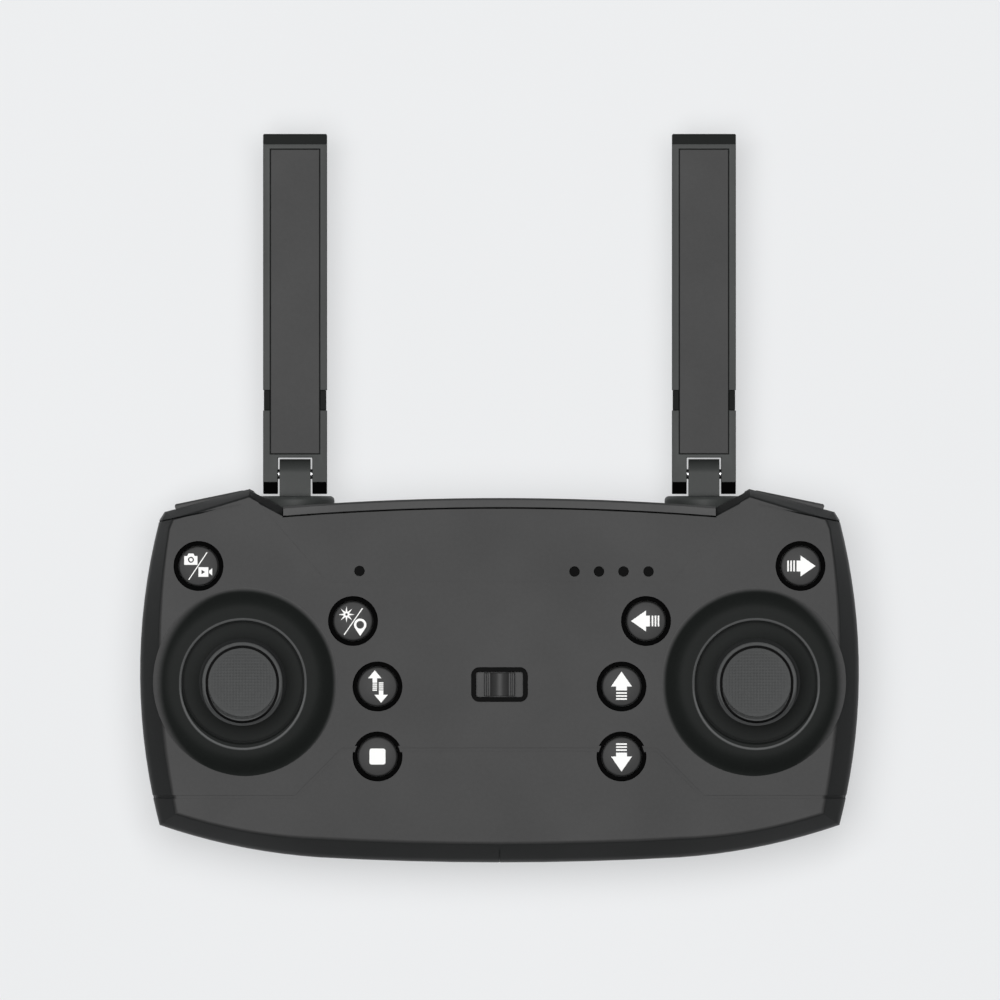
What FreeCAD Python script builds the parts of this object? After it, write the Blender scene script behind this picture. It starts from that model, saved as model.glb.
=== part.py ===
import FreeCAD, Part
import math
import os

# Hand-held radio transmitter with two thumb sticks and two folding antennas.
# It lies on its back: X to its right, Y towards the antennas, Z out of its front face.
# The origin is on the flat battery door, straight behind the power switch.
# All sizes are in millimetres. Pieces that come in pairs are drawn on the right and mirrored.

Vector = FreeCAD.Vector

# Case
FACE_Z = 28.0
PARTING_Z = 17.0
BACK_Z = 5.0
SEAM_GAP = 0.2
WALL = 2.0
INNER_FACE_Z = FACE_Z - WALL
SIDE_BEVEL = 4.6
CORNER_BEVEL = 2.3
BOTTOM_BEVEL = 4.4
TOP_BEVEL = 1.7
BAR_CHAMFER = 0.4
BAR_END_SHARE = 0.4
BEVEL_TILT = math.radians(50.0)
BEVEL_UPPER_RADIUS = 1.2
BEVEL_LOWER_RADIUS = 4.0
BACK_ROUND_WIDTH = 8.0
BACK_ROUND_START_Z = 15.0
BEYOND = 80.0
LINE_DEPTH = 0.3
STEP_DEPTH = 0.22

# Corners of the case outline, on the right-hand side
TOP_MIDDLE = (0.0, 37.2)
DIP = (43.4, 35.45)
PEAK = (50.1, 39.0)
SHOULDER = (67.1, 34.4)
UPPER_CORNER = (68.1, 32.8)
SIDE_MIDDLE = (72.0, 0.8)
LOWER_CORNER = (68.1, -28.3)
END_MIDDLE = (59.2, -31.0)
BOTTOM_JOIN = (36.0, -34.8)
BOTTOM_MIDDLE = (0.0, -35.8)

# Battery hump, bay and door
HUMP_X = 29.0
HUMP_Y = (-26.0, 21.0)
BAY_X = 25.0
BAY_Y = (-17.0, 16.4)
BAY_Z = (1.6, 13.3)
BAY_WALL = 1.6
DOOR_X = 27.0
DOOR_Y = (-24.8, 18.4)
DOOR_THICKNESS = 1.6
DOOR_GAP = 0.25
DOOR_SCREW_Y = -21.8
CELL_RADIUS = 5.2
CELL_LENGTH = 43.3
CELL_PITCH = 10.9
CELL_Z = 7.2
CELL_MIDDLE_Y = -0.3
LEAD_RADIUS = 0.4
SOUND_SLOT_Y = 21.2
SOUND_SLOT_PITCH = 2.4

# Screws
CASE_SCREWS = [(47.0, 19.5), (60.0, -19.0), (37.0, -24.0)]
SCREW_RADIUS = 1.0
SCREW_HEAD_RADIUS = 2.2
SCREW_HEAD_HEIGHT = 1.5
SCREW_SEAT_Z = 8.9
SCREW_TIP_Z = 23.5
DOOR_SCREW_SEAT_Z = 0.9
DOOR_SCREW_TIP_Z = 6.2
BOSS_RADIUS = 2.5
REAR_BOSS_RADIUS = 3.4

# Thumb sticks
STICK_X = 51.3
STICK_Y = 0.45
PIVOT_Z = 16.0
RIM_RADIUS = 12.6
RIM_WIDTH = 0.8
BEZEL_RADIUS = 18.9
BEZEL_TRIM = 0.9
BEZEL_NECK_RADIUS = 14.0
RIM_Z = 30.0
WELL_FLOOR_Z = 27.0
WELL_FLOOR_THICKNESS = 0.8
WELL_HOLE_RADIUS = 8.4
WELL_GROOVE = 0.45
DOME_RADIUS = 13.0
DOME_EDGE_ANGLE = 58.0
SHAFT_RADIUS = 2.0
CAP_LOW_Z = 35.0
CAP_TOP_Z = 39.0
CAP_RADIUS = 8.0
CAP_COLLAR_RADIUS = 8.7
CAP_GROOVE_RADIUS = 7.3
CAP_GROOVE_DEPTH = 1.7
CAP_PAD_RADIUS = 6.85
CAP_PAD_DISH = 0.75
HOUSING_HALF = 12.0
HOUSING_WALL = 1.5
HOUSING_Z = (8.0, 17.6)
PIN_RADIUS = 1.0
PIN_CLEARANCE = 0.06
POST_REACH = 11.0
POST_RADIUS = 1.5
POT_HALF = 4.5
POT_DEPTH = 3.5
ROCKER_RADII = (9.0, 10.2)
SPRING_COIL = (1.9, 0.28, 0.75, 2.6)
CONTACT_COIL = (2.6, 0.3, 0.85, 2.6)

# Face buttons, on a board behind the front face
BUTTONS = {
    "camera_button": (-60.2, 23.6),
    "light_home_button": (-29.3, 12.6),
    "takeoff_button": (-24.4, -0.5),
    "stop_button": (-24.4, -14.5),
    "trim_right_button": (60.2, 23.6),
    "trim_left_button": (29.3, 12.6),
    "trim_up_button": (24.4, -0.5),
    "trim_down_button": (24.4, -14.5),
}
BUTTON_RADIUS = 3.9
BUTTON_TOP_Z = 28.5
BUTTON_BASE_Z = 24.4
BUTTON_FLANGE_RADIUS = 4.9
COLLAR_INNER_RADIUS = 4.1
COLLAR_OUTER_RADIUS = 4.95
COLLAR_FLANGE_RADIUS = 5.6
BUTTON_HOLE_RADIUS = 5.0
LUGGED_BUTTONS = ("stop_button", "trim_down_button")
LUG_REACH = 4.6
LUG_Y = (0.9, 2.1)
BOARD_Z = (17.4, 19.0)
BOARD_TOP = BOARD_Z[1]

# Shoulder buttons, along the slope between the peak and the shoulder
SHOULDER_X = (-7.7, 6.5)
SHOULDER_Z = (13.5, 23.5)
SHOULDER_RISE = (0.1, 0.95)
SHOULDER_FLANGE = 0.6
SHOULDER_FLANGE_Y = (-3.2, -2.3)
SHOULDER_GAP = 0.25
SHOULDER_SWITCH_Y = (-13.6, -10.6)

# Power switch and indicator lights
SWITCH_Y = -0.1
SWITCH_FRAME = (11.3, 6.9)
SWITCH_WINDOW = (9.4, 5.05)
LED_SPOTS = [(-28.0, 22.6), (15.0, 22.5), (19.9, 22.5), (24.8, 22.5), (29.8, 22.5)]
LED_WINDOW_RADIUS = 1.0
LED_RADIUS = 1.5
BUZZER_Y = -15.0
LED_TOP_Z = 22.6

# Antennas
ANTENNA_X = 41.0
ANTENNA_Z = 15.5
DISC_RADIUS = 7.9
DISC_Y = (34.6, 37.6)
SEAT_Y = 34.35
STEM_RADIUS = 3.4
FOLD_Y = 42.0
BLADE_WIDTH = 12.8
BLADE_HALF_THICKNESS = 2.5
BLADE_FOOT_Y = 38.0
BLADE_TOP_Y = 108.2
TIP_TOP_Y = 110.2
FORK_WIDTH = 6.9
FORK_TOP_Y = 45.3
TONGUE_WIDTH = 6.2
TONGUE_RADIUS = 3.0
PANEL_WIDTH = 10.0
PANEL_Y = (46.0, 107.2)
NOTCH_Y = (54.8, 58.8)
NOTCH_WIDTH = 1.4


# ---- Small helpers ---------------------------------------------------------------------------

def box(x_span, y_span, z_span):
    """Box between two values along each axis."""
    size = [span[1] - span[0] for span in (x_span, y_span, z_span)]
    return Part.makeBox(*size, Vector(x_span[0], y_span[0], z_span[0]))


def grown_box(x_span, y_span, z_span, spread):
    """Box that reaches further by the same amount at both ends of X and Z."""
    wide = (x_span[0] - spread, x_span[1] + spread)
    tall = (z_span[0] - spread, z_span[1] + spread)
    return box(wide, y_span, tall)


def box_round(x, y, half, z_span):
    """Square box with its middle at a point."""
    return box((x - half, x + half), (y - half, y + half), z_span)


def all_between(low, high):
    """Everything in and round the case between two heights."""
    return box_round(0.0, 0.0, BEYOND, (low, high))


def cylinder(radius, z_span, x=0.0, y=0.0):
    """Upright cylinder between two heights."""
    return Part.makeCylinder(radius, z_span[1] - z_span[0], Vector(x, y, z_span[0]))


def rod(radius, start, end):
    """Cylinder from one point to another."""
    axis = end - start
    return Part.makeCylinder(radius, axis.Length, start, axis)


def ring(outer, inner, z_span, x=0.0, y=0.0):
    """Upright tube."""
    return cylinder(outer, z_span, x, y).cut(cylinder(inner, z_span, x, y))


def fuse_all(shapes):
    """One solid from shapes that touch or overlap."""
    whole = shapes[0]
    for shape in shapes[1:]:
        whole = whole.fuse(shape)
    return whole.removeSplitter()


def cut_all(shape, tools):
    """Takes each tool out of the shape."""
    for tool in tools:
        shape = shape.cut(tool)
    return shape


def prism(points, low, high):
    """Upright prism over a polygon of (x, y) points."""
    corners = [Vector(x, y, low) for x, y in points]
    face = Part.Face(Part.makePolygon(corners + corners[:1]))
    return face.extrude(Vector(0, 0, high - low))


def turned(points, x, y):
    """Solid of revolution about an upright axis, from (radius, z) points."""
    corners = [Vector(radius, 0, z) for radius, z in points]
    face = Part.Face(Part.makePolygon(corners + corners[:1]))
    solid = face.revolve(Vector(0, 0, 0), Vector(0, 0, 1), 360)
    solid.translate(Vector(x, y, 0))
    return solid


def rounded_rectangle(x_span, y_span, radius, z):
    """Flat wire: a rectangle with round corners."""
    face = Part.makePlane(x_span[1] - x_span[0], y_span[1] - y_span[0], Vector(x_span[0], y_span[0], z))
    prism_shape = face.extrude(Vector(0, 0, 1))
    upright = [edge for edge in prism_shape.Edges if abs(edge.tangentAt(edge.FirstParameter).z) > 0.99]
    rounded = prism_shape.makeFillet(radius, upright)
    flats = [face for face in rounded.Faces if abs(face.CenterOfMass.z - z) < 1e-6]
    return flats[0].OuterWire


def rounded_box(x_span, y_span, z_span, radius):
    """Box with round upright edges."""
    face = Part.Face(rounded_rectangle(x_span, y_span, radius, z_span[0]))
    return face.extrude(Vector(0, 0, z_span[1] - z_span[0]))


def mirrored(shape):
    """The left-hand twin of a right-hand shape."""
    return shape.mirror(Vector(0, 0, 0), Vector(1, 0, 0))


def both(shape):
    """A shape and its left-hand twin."""
    return [shape, mirrored(shape)]


def coil(radius, wire_radius, pitch, turns, start, axis):
    """Round-wire coil that starts at a point and runs along an axis."""
    helix = Part.makeHelix(pitch, pitch * turns, radius)
    circle = Part.Wire(Part.makeCircle(wire_radius, Vector(radius, 0, 0), Vector(0, 1, 0)))
    solid = Part.Wire(helix).makePipeShell([circle], True, True)
    rotation = FreeCAD.Rotation(Vector(0, 0, 1), axis)
    solid.Placement = FreeCAD.Placement(start, rotation)
    return solid


def save(name, shapes):
    """Writes one node: a single solid, or a group of separate ones."""
    group = shapes if isinstance(shapes, list) else [shapes]
    solids = [solid for shape in group for solid in shape.Solids]
    whole = solids[0] if len(solids) == 1 else Part.makeCompound(solids)
    whole.exportStep(f"parts/{name}.step")


def save_pair(name, shapes):
    """Writes the right-hand piece, or group, and its left-hand twin as two nodes."""
    group = shapes if isinstance(shapes, list) else [shapes]
    save(f"right_{name}", group)
    save(f"left_{name}", [mirrored(shape) for shape in group])


# ---- Case ------------------------------------------------------------------------------------

def front_profile():
    """(height, inset share) up the rounded bevel between the side and the face, 1 at the face."""
    tilt = BEVEL_TILT
    arcs = BEVEL_UPPER_RADIUS * math.sin(tilt) + BEVEL_LOWER_RADIUS * (1 - math.sin(tilt))
    slope_length = (SIDE_BEVEL - arcs) / math.cos(tilt)
    outward = 0.0
    z = FACE_Z
    levels = [(z, outward)]
    for share in (0.33, 0.67, 1.0):
        angle = share * tilt
        outward = BEVEL_UPPER_RADIUS * math.sin(angle)
        z = FACE_Z - BEVEL_UPPER_RADIUS * (1 - math.cos(angle))
        levels.append((z, outward))
    outward += slope_length * math.cos(tilt)
    z -= slope_length * math.sin(tilt)
    levels.append((z, outward))
    for share in (0.33, 0.67, 1.0):
        angle = tilt + share * (math.pi / 2 - tilt)
        reach = outward + BEVEL_LOWER_RADIUS * (math.sin(angle) - math.sin(tilt))
        drop = BEVEL_LOWER_RADIUS * (math.cos(tilt) - math.cos(angle))
        levels.append((z - drop, reach))
    return [(height, 1.0 - reach / SIDE_BEVEL) for height, reach in reversed(levels)]


def rear_profile():
    """(height, inset) down the rounded edge between the side and the back."""
    depth = BACK_ROUND_START_Z - BACK_Z
    levels = []
    for degrees in (90, 76, 62, 48, 34, 18, 0):
        angle = math.radians(degrees)
        inset = BACK_ROUND_WIDTH * (1 - math.cos(angle))
        levels.append((BACK_ROUND_START_Z - depth * math.sin(angle), inset))
    return levels


def outline(side, corner, top, bottom, z):
    """Closed outline of the case at one height, drawn in at its sides, upper corners, top and bottom."""
    def point(corner, inward_x, inward_y):
        return (corner[0] - inward_x, corner[1] + inward_y)

    right = {
        "dip": point(DIP, 0, -top),
        "peak": point(PEAK, 0, -top),
        "shoulder": point(SHOULDER, 0.45 * side, -top),
        "upper": point(UPPER_CORNER, corner, -top - 0.1 * corner),
        "side": point(SIDE_MIDDLE, side, 0),
        "lower": point(LOWER_CORNER, 0.85 * side, 0.62 * bottom),
        "end": point(END_MIDDLE, 0.15 * side, 0.85 * bottom),
        "join": point(BOTTOM_JOIN, 0, bottom),
    }
    at_right = {name: Vector(x, y, z) for name, (x, y) in right.items()}
    at_left = {name: Vector(-x, y, z) for name, (x, y) in right.items()}
    top_middle = Vector(TOP_MIDDLE[0], TOP_MIDDLE[1] - top, z)
    bottom_middle = Vector(BOTTOM_MIDDLE[0], BOTTOM_MIDDLE[1] + bottom, z)

    def half(points):
        return [
            Part.Arc(points["lower"], points["side"], points["upper"]).toShape(),
            Part.makeLine(points["upper"], points["shoulder"]),
            Part.makeLine(points["shoulder"], points["peak"]),
            Part.makeLine(points["peak"], points["dip"]),
        ]

    top_edge = Part.Arc(at_right["dip"], top_middle, at_left["dip"]).toShape()
    bottom_edges = [
        Part.Arc(at_left["lower"], at_left["end"], at_left["join"]).toShape(),
        Part.Arc(at_left["join"], bottom_middle, at_right["join"]).toShape(),
        Part.Arc(at_right["join"], at_right["end"], at_right["lower"]).toShape(),
    ]
    edges = half(at_right) + [top_edge] + half(at_left)[::-1] + bottom_edges
    return Part.Wire(Part.__sortEdges__(edges))


def case_solid(inward):
    """The whole case as one solid, drawn in on every side by the same amount."""
    wires = []
    for z, inset in rear_profile():
        wires.append(outline(*[inset + inward] * 4, z + inward))
    for z, share in front_profile():
        top = max(0.0, TOP_BEVEL * (z - (FACE_Z - TOP_BEVEL)) / TOP_BEVEL)
        side = SIDE_BEVEL * share + inward
        corner = CORNER_BEVEL * share + inward
        bottom = BOTTOM_BEVEL * share + inward
        wires.append(outline(side, corner, top + inward, bottom, z - inward))
    return Part.makeLoft(wires, True, True)


def hump():
    """Raised battery hump on the back, with drafted sides and a soft lower edge."""
    wires = []
    for z, spread, radius in ((0.0, -0.5, 4.0), (0.5, 0.0, 4.5), (BACK_Z + 1.0, 2.0, 6.0)):
        x_span = (-HUMP_X - spread, HUMP_X + spread)
        y_span = (HUMP_Y[0] - spread, HUMP_Y[1] + spread)
        wires.append(rounded_rectangle(x_span, y_span, radius, z))
    return Part.makeLoft(wires, True, True)


def turntable_seats():
    """Round seats that carry the antenna turntables, one on each side."""
    start = at_antenna(0, SEAT_Y - 3.45)
    return both(rod(DISC_RADIUS + 1.3, start, at_antenna(0, SEAT_Y)))


def turntable_openings():
    """Recess for each turntable's disc and the hole for its stem."""
    floor = at_antenna(0, SEAT_Y)
    recess = rod(DISC_RADIUS + 0.4, floor, at_antenna(0, 45.0))
    hole = rod(STEM_RADIUS + 0.08, at_antenna(0, 25.0), floor)
    return both(recess) + both(hole)


def shoulder_frame(shape):
    """Moves a shape from the middle of the X axis to the middle of the right shoulder's slope."""
    run = SHOULDER[0] - PEAK[0]
    fall = SHOULDER[1] - PEAK[1]
    middle = Vector(PEAK[0] + run / 2, PEAK[1] + fall / 2, 0)
    turn = FreeCAD.Rotation(Vector(0, 0, 1), math.degrees(math.atan2(fall, run)))
    moved = shape.copy()
    moved.Placement = FreeCAD.Placement(middle, turn).multiply(moved.Placement)
    return moved


def shoulder_opening():
    """Window for the shoulder button in the top edge, with a wider pocket for its flange inside."""
    window = grown_box(SHOULDER_X, (-4.0, 3.0), SHOULDER_Z, SHOULDER_GAP)
    pocket = grown_box(SHOULDER_X, (-5.0, -WALL - 0.1), SHOULDER_Z, SHOULDER_GAP + SHOULDER_FLANGE + 0.1)
    return shoulder_frame(window.fuse(pocket))


def band(points, width):
    """Path of straight strips of one width, as tall as the case."""
    strips = []
    for start, end in zip(points, points[1:]):
        along = Vector(end[0] - start[0], end[1] - start[1], 0)
        across = Vector(-along.y, along.x, 0).normalize() * (width / 2)
        a = Vector(*start, 0)
        b = Vector(*end, 0)
        corners = [a + across, b + across, b - across, a - across]
        strips.append(prism([(corner.x, corner.y) for corner in corners], 0.0, FACE_Z + 1))
        strips.append(cylinder(width / 2, (0.0, FACE_Z + 1), *end))
    return fuse_all(strips)


def surface_cuts():
    """Shallow lines in the front face: panel step, lower panel groove and shoulder seams."""
    outer = case_solid(0.0)
    step_skin = outer.cut(case_solid(STEP_DEPTH))
    line_skin = outer.cut(case_solid(LINE_DEPTH))
    upper_panel = prism([(-34.4, 20.4), (34.4, 20.4), (51.5, 40.0), (-51.5, 40.0)], PARTING_Z, FACE_Z + 1)
    lower_half = [(74.0, -22.6), (40.8, -22.6), (31.4, -13.1), (0.0, -13.1)]
    lower_groove = band(lower_half, 0.7)
    seam = band([(69.0, 32.3), (52.0, 35.8)], 0.3)
    centre_line = band([(0.0, -33.2), (0.0, -40.0)], 0.3)
    grooves = both(lower_groove) + both(seam) + [centre_line]
    above_parting = all_between(PARTING_Z, FACE_Z + 1)
    lines = [groove.common(line_skin).common(above_parting) for groove in grooves]
    return lines + [upper_panel.common(step_skin)]


def bar_region(clearance):
    """Space above the seam between the front face and the top bar, with a tighter fit at its ends."""
    seam_inset = TOP_BEVEL + 0.1 + clearance
    low = Vector(DIP[0] - 0.15 + BAR_END_SHARE * clearance, DIP[1] - seam_inset, 0)
    low_left = Vector(-low.x, low.y, 0)
    arc = Part.Arc(low, Vector(0, TOP_MIDDLE[1] - seam_inset, 0), low_left).toShape()
    high = Vector(low.x, 45.0, 0)
    high_left = Vector(-low.x, 45.0, 0)
    lines = [Part.makeLine(low_left, high_left), Part.makeLine(high_left, high), Part.makeLine(high, low)]
    face = Part.Face(Part.Wire([arc] + lines))
    region = face.extrude(Vector(0, 0, FACE_Z + 2 - PARTING_Z))
    region.translate(Vector(0, 0, PARTING_Z))
    return region


def case_walls():
    """The hollow case before it is split, with seats and openings for what both shells hold."""
    seats = turntable_seats()
    cavity = cut_all(case_solid(WALL), seats)
    walls = fuse_all([case_solid(0.0)] + seats).cut(cavity)
    return cut_all(walls, turntable_openings() + both(shoulder_opening()))


def front_half():
    """The case above the parting seam."""
    return case_walls().common(all_between(PARTING_Z + SEAM_GAP / 2, FACE_Z + 1))


def button_opening(name, x, y):
    """Hole for a face button and its collar; two of them keep a pair of small lugs above the collar."""
    hole = cylinder(BUTTON_HOLE_RADIUS, (INNER_FACE_Z - 6, FACE_Z + 1), x, y)
    if name in LUGGED_BUTTONS:
        y_span = (y + LUG_Y[0], y + LUG_Y[1])
        lugs = box((x - 6.0, x + 6.0), y_span, (27.3, FACE_Z + 2))
        hole = hole.cut(lugs.cut(cylinder(LUG_REACH, (27.0, FACE_Z + 3), x, y)))
    return hole.fuse(cylinder(COLLAR_FLANGE_RADIUS + 0.3, (INNER_FACE_Z - 5, INNER_FACE_Z), x, y))


def front_shell(half):
    """Front shell with its screw bosses, board posts and every opening in the face."""
    low = PARTING_Z + SEAM_GAP / 2
    shell = half.cut(bar_region(0.35))
    bosses = []
    for x, y in CASE_SCREWS:
        bosses += both(cylinder(BOSS_RADIUS, (low, INNER_FACE_Z + 0.3), x, y))
    for x, y in ((31.0, -22.0), (10.0, 27.0)):
        bosses += both(cylinder(1.8, (BOARD_TOP, INNER_FACE_Z + 0.3), x, y))
    shell = fuse_all([shell] + bosses)
    tools = surface_cuts()
    for x, y in CASE_SCREWS:
        tools += both(cylinder(SCREW_RADIUS + 0.05, (low - 1, SCREW_TIP_Z + 1), x, y))
    through = (INNER_FACE_Z - 1, FACE_Z + 1)
    tools += both(cylinder(BEZEL_NECK_RADIUS + 0.1, through, STICK_X, STICK_Y))
    tools += [button_opening(name, x, y) for name, (x, y) in BUTTONS.items()]
    tools += [cylinder(LED_WINDOW_RADIUS + 0.05, through, x, y) for x, y in LED_SPOTS]
    x_window, y_window = (length / 2 + 0.25 for length in SWITCH_WINDOW)
    tools.append(box((-x_window, x_window), (SWITCH_Y - y_window, SWITCH_Y + y_window), through))
    x_pocket, y_pocket = x_window + 3.25, y_window + 0.15
    tools.append(box((-x_pocket, x_pocket), (SWITCH_Y - y_pocket, SWITCH_Y + y_pocket), (through[0], 27.4)))
    return cut_all(shell, tools)


def top_bar(half):
    """Bar along the top edge between the two antennas, flat in front where the rest is bevelled."""
    low = FACE_Z - TOP_BEVEL
    slab = Part.Face(outline(*[0.0] * 4, low)).extrude(Vector(0, 0, FACE_Z - low))
    bar = fuse_all([half, slab]).common(bar_region(0.0))
    front_edges = [edge for edge in bar.Edges if abs(edge.CenterOfMass.z - FACE_Z) < 1e-6]
    crest = max(front_edges, key=lambda edge: edge.CenterOfMass.y)
    return bar.makeChamfer(BAR_CHAMFER, [crest])


def rear_shell():
    """Rear shell with the battery hump and bay, screw bosses and sound slots."""
    high = PARTING_Z - SEAM_GAP / 2
    below = all_between(-1.0, high)
    outer = case_solid(0.0)
    bay_outer = box((-BAY_X - BAY_WALL, BAY_X + BAY_WALL), (BAY_Y[0] - BAY_WALL, BAY_Y[1] + BAY_WALL),
                    (BAY_Z[0], BAY_Z[1] + BAY_WALL))
    bosses = []
    for x, y in CASE_SCREWS:
        bosses += both(cylinder(REAR_BOSS_RADIUS, (BACK_Z + 0.5, high), x, y).common(outer))
    walls = case_walls().common(below)
    shell = fuse_all([walls, hump(), bay_outer] + bosses)
    tools = [
        box((-BAY_X, BAY_X), BAY_Y, (-1.0, BAY_Z[1])),
        box((-DOOR_X - DOOR_GAP, DOOR_X + DOOR_GAP), (DOOR_Y[0] - DOOR_GAP, DOOR_Y[1] + DOOR_GAP),
            (-1.0, DOOR_THICKNESS)),
        cylinder(SCREW_RADIUS + 0.05, (0.0, DOOR_SCREW_TIP_Z + 0.4), 0.0, DOOR_SCREW_Y),
    ]
    for x, y in CASE_SCREWS:
        tools += both(cylinder(SCREW_RADIUS + 0.2, (0.0, high + 1), x, y))
        tools += both(cylinder(SCREW_HEAD_RADIUS + 0.25, (0.0, SCREW_SEAT_Z), x, y))
    for index in range(5):
        y = SOUND_SLOT_Y + index * SOUND_SLOT_PITCH
        tools.append(rounded_box((-6.0, 6.0), (y - 0.6, y + 0.6), (0.0, BACK_Z + WALL + 1), 0.5))
    for side in (-1, 1):
        end = side * (BAY_X + BAY_WALL / 2)
        tools.append(box_round(end, side * CELL_PITCH + CELL_MIDDLE_Y, 1.5, (9.0, 12.0)))
    return cut_all(shell, tools)


def battery_door():
    """Flat lid over the battery bay with a finger recess and a counterbore for its screw."""
    door = rounded_box((-DOOR_X, DOOR_X), DOOR_Y, (0.0, DOOR_THICKNESS), 2.0)
    tools = [
        cylinder(SCREW_RADIUS + 0.2, (-1.0, DOOR_THICKNESS + 1), 0.0, DOOR_SCREW_Y),
        cylinder(SCREW_HEAD_RADIUS + 0.3, (-1.0, DOOR_SCREW_SEAT_Z), 0.0, DOOR_SCREW_Y),
    ]
    for index in range(5):
        y = 9.0 + index * 1.6
        tools.append(rounded_box((-9.0, 9.0), (y - 0.4, y + 0.4), (-1.0, 0.5), 0.35))
    return cut_all(door, tools)


def screw(x, y, seat_z, tip_z, head_height):
    """Pan-head screw pointing up, with a cross recess in its head."""
    head = cylinder(SCREW_HEAD_RADIUS, (seat_z - head_height, seat_z), x, y)
    shank = cylinder(SCREW_RADIUS, (seat_z, tip_z), x, y)
    low = seat_z - head_height - 0.1
    recess = [
        box((x - 1.2, x + 1.2), (y - 0.25, y + 0.25), (low, low + 0.6)),
        box((x - 0.25, x + 0.25), (y - 1.2, y + 1.2), (low, low + 0.6)),
    ]
    return cut_all(fuse_all([head, shank]), recess)


def case_screws():
    """Six screws that hold the shells together from the back."""
    screws = []
    for x, y in CASE_SCREWS:
        screws += both(screw(x, y, SCREW_SEAT_Z, SCREW_TIP_Z, SCREW_HEAD_HEIGHT))
    return screws


# ---- Battery ---------------------------------------------------------------------------------

def cell_rows():
    """(row centre y, direction of the positive end) of the three cells in series."""
    rows = ((1, 1), (0, -1), (-1, 1))
    return [(CELL_MIDDLE_Y + index * CELL_PITCH, direction) for index, direction in rows]


def battery_cells():
    """Three dry cells side by side, alternate ways round."""
    cells = []
    for y, direction in cell_rows():
        low = Vector(-direction * (CELL_LENGTH / 2), y, CELL_Z)
        high = Vector(direction * (CELL_LENGTH / 2), y, CELL_Z)
        nub = Vector(direction * (CELL_LENGTH / 2 + 1.0), y, CELL_Z)
        cells.append(fuse_all([rod(CELL_RADIUS, low, high), rod(1.9, high, nub)]))
    return cells


def battery_contacts():
    """Flat contact at each positive end, plate and coil at each negative end, and two lead tabs."""
    plate_x = BAY_X - 0.4
    pieces = []
    for y, direction in cell_rows():
        plus = sorted((direction * plate_x, direction * (BAY_X - 2.35)))
        minus = sorted((-direction * plate_x, -direction * BAY_X))
        pieces.append(box(plus, (y - 2.6, y + 2.6), (CELL_Z - 3.0, CELL_Z + 3.0)))
        coil_start = Vector(-direction * (plate_x - 0.05), y, CELL_Z)
        spring = coil(*CONTACT_COIL, coil_start, Vector(direction, 0, 0))
        pieces.append(fuse_all([box(minus, (y - 4.0, y + 4.0), (CELL_Z - 4.0, CELL_Z + 4.0)), spring]))
    return pieces


def lead(points):
    """Round lead along straight runs that are joined by tangent arcs."""
    nodes = [Vector(*point) for point in points]
    edges = []
    start = nodes[0]
    for before, corner, after in zip(nodes, nodes[1:], nodes[2:]):
        back = before - corner
        ahead = after - corner
        turn = math.pi - back.getAngle(ahead)
        cut_back = 0.45 * min(back.Length, ahead.Length)
        radius = cut_back / math.tan(turn / 2)
        arc_start = corner + back.normalize() * cut_back
        arc_end = corner + ahead.normalize() * cut_back
        middle_direction = (arc_start + arc_end) * 0.5 - corner
        middle_reach = radius / math.cos(turn / 2) - radius
        middle = corner + middle_direction.normalize() * middle_reach
        edges.append(Part.makeLine(start, arc_start))
        edges.append(Part.Arc(arc_start, middle, arc_end).toShape())
        print(f"lead bend radius {radius:.2f} mm, {radius / (2 * LEAD_RADIUS):.1f} diameters")
        start = arc_end
    edges.append(Part.makeLine(start, nodes[-1]))
    path = Part.Wire(edges)
    profile = Part.Wire(Part.makeCircle(LEAD_RADIUS, nodes[0], nodes[1] - nodes[0]))
    tube = path.makePipeShell([profile], True, True)
    expected = math.pi * LEAD_RADIUS ** 2 * path.Length
    print(f"lead length {path.Length:.1f} mm, volume {tube.Volume:.2f} of {expected:.2f} mm3")
    return tube


def battery_lead(side):
    """Lead from an end contact, out through the bay's wall and up to the board."""
    y = side * CELL_PITCH + CELL_MIDDLE_Y
    return lead([(side * BAY_X, y, 10.5), (side * 32.2, y, 10.5), (side * 32.2, y, BOARD_Z[0])])


# ---- Thumb sticks ----------------------------------------------------------------------------

def bezel_slope(start, end, steps=12):
    """(radius, height) points that leave the rim level, steepen outwards and run out level on the face."""
    points = []
    for step in range(steps + 1):
        share = step / steps
        fall = (1 - math.cos(math.pi * share ** 1.7)) / 2
        points.append((start[0] + share * (end[0] - start[0]), start[1] + fall * (end[1] - start[1])))
    return points


def stick_bezel(case):
    """Raised ring round a stick's well, seated on the face and trimmed where it hangs over the side."""
    inner = RIM_RADIUS - 0.3
    foot_z = FACE_Z - 4.0
    crest = [(inner, foot_z), (inner, RIM_Z - 0.25), (RIM_RADIUS, RIM_Z)]
    slope = bezel_slope((RIM_RADIUS + RIM_WIDTH, RIM_Z), (BEZEL_RADIUS, FACE_Z + 0.08))
    skirt = turned(crest + slope + [(BEZEL_RADIUS, foot_z)], STICK_X, STICK_Y).cut(case)
    skirt = skirt.common(cylinder(BEZEL_RADIUS, (foot_z - 1, RIM_Z + 1), STICK_X - BEZEL_TRIM, STICK_Y))
    floor_low = WELL_FLOOR_Z - WELL_FLOOR_THICKNESS
    groove_z = WELL_FLOOR_Z - WELL_FLOOR_THICKNESS / 2
    well = [
        (WELL_HOLE_RADIUS, floor_low), (BEZEL_NECK_RADIUS, floor_low), (BEZEL_NECK_RADIUS, FACE_Z + 0.05),
        (inner, FACE_Z + 0.3), (inner, groove_z), (inner - WELL_GROOVE, groove_z),
        (inner - WELL_GROOVE, WELL_FLOOR_Z), (WELL_HOLE_RADIUS, WELL_FLOOR_Z),
    ]
    return fuse_all([skirt, turned(well, STICK_X, STICK_Y)])


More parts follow.
